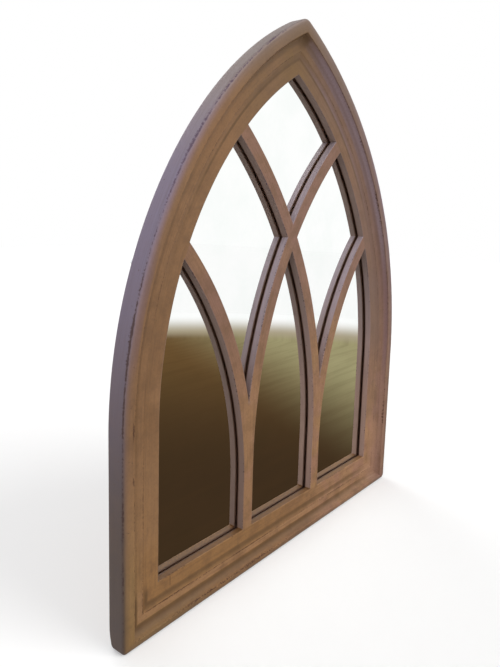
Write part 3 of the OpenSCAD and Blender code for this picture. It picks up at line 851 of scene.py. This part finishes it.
# %% [markdown]
# ## The mirror
# A mirror is silvered on its back, so a dark gap shows between every bar and its reflection. Glass bends light,
# which makes three millimetres of it look only half as deep from the side. The pane here is the silver alone, at
# that apparent depth inside the glass's place, and it shows the same gap without a slow clear layer.

# %% The silvered pane
low, high = (np.array(c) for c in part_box("mirror_glass"))
PANE_R, SILVER_Y = ARCH_R + high[0] - HALF_W, (low[1] + high[1]) / 2
# The outline: the foot, the right side and its arc up to the point, then the same arc mirrored and reversed
t = np.linspace(0, math.acos(ARC_X / PANE_R), 41)
arc = np.stack([PANE_R * np.cos(t) - ARC_X, SPRING_Z + PANE_R * np.sin(t)], -1)
outline = np.concatenate([[(low[0], low[2]), (high[0], low[2])], arc, (arc * (-1, 1))[-2::-1]])
count = len(outline)
i, j = np.arange(count), (np.arange(count) + 1) % count
mesh = bpy.data.meshes.new("silvered_pane")
mesh.from_pydata([(x, y, z) for y in (SILVER_Y, high[1]) for x, z in outline], [],
                 [i.tolist(), (i[::-1] + count).tolist(), *np.stack([j, i, i + count, j + count], -1).tolist()])
silvered_pane = in_scene(mesh)
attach(silvered_pane, "mirror")
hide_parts("mirror_glass")
print("silver", round((SILVER_Y - low[1]) / MM, 2), "mm behind the wood")

# %% [markdown]
# The glass is clean but not new: a faint haze tints it, and fine dust makes tiny spots less sharp.

# %% Silvered glass
f = Finish("silvered glass", srgb(254, 255, 254), Metallic=1.0)
haze, dust = f.noise(f.place(), 14.0, 4.0, 0.6), f.noise(f.place(), 420.0, 2.0).step(0.68, 0.8)
f.coat(haze.step(0.35, 0.7), srgb(249, 252, 250))
mesh.materials.append(f.wear(Base_Color=f.tone, Roughness=haze * 0.004 + dust * 0.03 + 0.002))
print("silvered glass:", len(f.tree.nodes), "nodes")

# %% [markdown]
# ## Board and fittings
# These nodes already have their real shapes, so they keep them and only get better finishes. The board is pressed
# from fibres, which show as darker flecks. Zinc plating crystallises in soft spangles, and handling leaves fine
# level rubs. Felt is all tufts, and the beech pegs have short dark flecks along their length.


# %% The board, the steel, the felt and the pegs
def pressed_board():
    """Two browns by a coarse mottle, with darker fibres that also stand up."""
    f = Finish("pressed hardboard", srgb(118, 87, 60), Roughness=0.75, Specular_IOR_Level=0.25)
    fibres = f.noise(f.stretched(f.place(), (420, 420, 900)), 1.0, 5.0, 0.7)
    f.coat(f.noise(f.place(), 16.0, 5.0, 0.6).step(0.3, 0.72), srgb(129, 96, 67))
    f.coat(fibres.step(0.52, 0.7) * 0.7, srgb(88, 62, 42))
    return f.wear(Base_Color=f.tone, Normal=f.bump(fibres, 0.2 * MM, 0.5))


def zinc_steel():
    """Two greys by the spangle, which also sets the gloss, with darker rubs that are cut in."""
    f = Finish("zinc-plated steel", srgb(178, 180, 184), Metallic=1.0)
    spangle = f.noise(f.place(), 260.0, 3.0, 0.6)
    rubs = f.noise(f.stretched(f.place(), (300, 300, 3200)), 1.0, 3.0)
    f.coat(spangle.step(0.3, 0.7), srgb(206, 207, 208))
    f.coat(rubs.step(0.6, 0.75) * 0.5, srgb(148, 146, 144))
    return f.wear(Base_Color=f.tone, Roughness=spangle * 0.2 + 0.22, Normal=f.bump(rubs, 0.04 * MM, 0.4))


def pressed_felt():
    """Two greys by the tufts, which also stand up."""
    f = Finish("grey felt", srgb(70, 66, 64), Roughness=0.95, Specular_IOR_Level=0.1)
    tufts = f.noise(f.place(), 1400.0, 4.0, 0.7)
    f.coat(tufts.step(0.3, 0.7), srgb(108, 104, 100))
    return f.wear(Base_Color=f.tone, Normal=f.bump(tufts, 0.5 * MM, 0.9))


def bare_beech():
    """Two woods by the flecks, which are cut in a little."""
    f = Finish("bare beech", srgb(204, 170, 128), Roughness=0.6)
    flecks = f.noise(f.stretched(f.place(), (500, 500, 140)), 1.0, 4.0, 0.6)
    f.coat(flecks.step(0.35, 0.7), srgb(176, 138, 98))
    return f.wear(Base_Color=f.tone, Normal=f.bump(flecks, 0.1 * MM, 0.4))


FINISHES = [
    (pressed_board(), ["backing_board"]),
    (zinc_steel(), ["backing_screws", "hanger_screws", "left_hanger_plate", "right_hanger_plate",
                    "left_hanger_ring", "right_hanger_ring"]),
    (pressed_felt(), ["wall_pads"]),
    (bare_beech(), ["corner_dowels", "stile_dowels", "arch_dowels", "apex_dowels", "bar_dowels"]),
]
for material, names in FINISHES:
    for name in names:
        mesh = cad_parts[name].data
        mesh.materials.clear()
        mesh.materials.append(material)
    print(material.name, "on", len(names), "nodes")

# %% [markdown]
# ## The stage
# A pale floor under a white world. The floor takes the mirror's soft shadow. What the camera sees of floor and
# world is white, while the light that they throw on the object stays at a plain level.


# %% The floor
BLACK, WHITE = (0, 0, 0, 1), (1, 1, 1, 1)
FLOOR_HALF, FLOOR_GLOW, FLOOR_GLOW_MIRRORED = 6, 0.24, 0.135


def stage_sheet(name, corners, faces):
    """A piece of the studio, made of a few flat faces."""
    mesh = bpy.data.meshes.new(name)
    mesh.from_pydata(corners, [], faces)
    obj = in_scene(mesh)
    return obj


floor = stage_sheet("floor", [(x * FLOOR_HALF, y * FLOOR_HALF, 0) for x, y in ((-1, -1), (1, -1), (1, 1), (-1, 1))],
                    [(0, 1, 2, 3)])
f = Finish("pale floor", BLACK, Roughness=0.9, Specular_IOR_Level=0.1, Base_Color=(0.8, 0.8, 0.8, 1),
           Emission_Strength=1.0)
f.coat(f.rays("Camera").at_least(f.rays("Transmission")), (*[FLOOR_GLOW] * 3, 1))
f.coat(f.rays("Glossy"), (*[FLOOR_GLOW_MIRRORED] * 3, 1))
floor.data.materials.append(f.wear(Emission_Color=f.tone))
print("floor:", 2 * FLOOR_HALF, "m square")

# %% The white world
world = bpy.data.worlds.new("white studio")
bpy.context.scene.world = world
world.use_nodes = True
sky, background = Nodes(world.node_tree), world.node_tree.nodes["Background"]
seen = sky.rays("Camera").at_least(sky.rays("Glossy")).at_least(sky.rays("Transmission"))
sky.feed(background.inputs["Color"], WHITE)
sky.feed(background.inputs["Strength"], seen * 0.5 + 0.5)
print("world:", len(sky.tree.nodes), "nodes")

# %% [markdown]
# A mirror is only as good as what it reflects, and in an all-white studio its panes would look like holes. So a
# card stands where only the mirror sees it, as in any picture of shiny things. It is a brown half disc on the
# floor in front, with a low rim that fades to white. Only glossy rays see it, so it shades nothing else.

# %% The card that the mirror reflects
CARD_R, CARD_H, CARD_Y, CARD_LIFT = 1.35, 0.1, -0.016, 0.0025
r, lift = np.array([0.001, 0.4, 0.9, CARD_R, CARD_R]), np.array([CARD_LIFT] * 4 + [CARD_H])
t = np.linspace(-math.pi, 0, 49)[:, None]
grid = np.stack([r * np.cos(t), r * np.sin(t) + CARD_Y, lift + 0 * t], -1)
n = np.arange(grid[..., 0].size).reshape(grid.shape[:2])
card = stage_sheet("reflection_card", grid.reshape(-1, 3), squares(n).tolist())
for ray in ("camera", "diffuse", "transmission", "volume_scatter", "shadow"):
    setattr(card, "visible_" + ray, False)
# The card glows with its own painted colours and takes no light
f = Finish("brown card", srgb(62, 46, 30), Base_Color=BLACK, Specular_IOR_Level=0.0, Emission_Strength=1.0)
place = f.place()
aside, near, height = (f.part(place, axis) for axis in "XYZ")
reach = f.node("ShaderNodeVectorMath", {"operation": "LENGTH"}, {0: place}, "Value")
f.coat(reach.step(0.15, 1.3), srgb(106, 80, 48))
f.coat((aside + near * 0.5).step(0.24, 0.8) * 0.85, srgb(168, 162, 122))
f.coat(f.noise(f.stretched(place, (3, 40, 1)), 1.0, 4.0, 0.6).step(0.4, 0.7) * 0.2, srgb(72, 52, 32))
f.coat(height.step(0.004, 0.04), srgb(172, 160, 136))
f.coat(height.step(0.03, CARD_H - 0.01), WHITE)
card.data.materials.append(f.wear(Emission_Color=f.tone))
f.material.cycles.emission_sampling = "NONE"
print("card:", len(card.data.polygons), "faces")

# %% [markdown]
# Three wide, soft suns light the wood: a warm key light from in front on the right, a cooler one from the left,
# and one from behind, for the views from the back.


# %% Lamps
def soft_sun(name, came_from, watts, colour):
    """A wide, soft sun that shines from that direction."""
    lamp = bpy.data.lights.new(name, "SUN")
    lamp.angle, lamp.energy, lamp.color = math.radians(40), watts, colour
    in_scene(lamp).rotation_euler = Vector(came_from).to_track_quat("Z", "Y").to_euler()
    print(name, "of", watts, "watts a square metre")


soft_sun("key light", (0.25, -0.68, 0.62), 1.25, (1.0, 0.985, 0.96))
soft_sun("side light", (-0.8, -0.22, 0.56), 0.75, (0.92, 0.95, 1.0))
soft_sun("back light", (0.3, 0.85, 0.42), 1.1, (1.0, 1.0, 1.0))

# %% [markdown]
# ## The camera
# The photograph's viewpoint was found from the places of known points of the frame in the picture: the camera
# stands to the left, close to the mirror, and looks down a little. Its direction is given here as turns, its
# place by where it sees the middle of the sill, and the shift puts the middle of the picture where the lens
# pointed.

# %% The photograph's viewpoint
YAW, PITCH, ROLL = 0.882, 0.146, 0.023
FOCAL_PX, CENTRE_PX, FRAME_PX = 616.627, (228.973, 303.43), (500, 667)
# The middle of the sill as the camera sees it, to the right, down and ahead, in the fit's units of 2.4273 mm
SILL_SEEN, FIT_UNIT, SENSOR_W = (31.056, 116.849, 355.923), 2.4273, 36
turn = (Matrix.Rotation(ROLL, 3, "Z") @ Matrix.Rotation(PITCH, 3, "X")
        @ Matrix(((1, 0, 0), (0, 0, -1), (0, 1, 0))) @ Matrix.Rotation(YAW, 3, "Z"))
right, down, ahead = turn
axes = Matrix((right, -down, -ahead)).transposed()
eye = Vector((0, FACE_Y, SILL_Z)) - turn.transposed() @ (Vector(SILL_SEEN) * FIT_UNIT * MM)
camera = in_scene(bpy.data.cameras.new("camera"))
camera.matrix_world = Matrix.Translation(eye) @ axes.to_4x4()
camera.data.sensor_width = SENSOR_W
camera.data.lens = FOCAL_PX / FRAME_PX[1] * SENSOR_W
camera.data.shift_x = (FRAME_PX[0] / 2 - CENTRE_PX[0]) / FRAME_PX[1]
camera.data.shift_y = (CENTRE_PX[1] - FRAME_PX[1] / 2) / FRAME_PX[1]
bpy.context.scene.camera = camera
bpy.context.scene.view_settings.view_transform = "Standard"
print("camera at", [round(v, 3) for v in camera.matrix_world.translation])
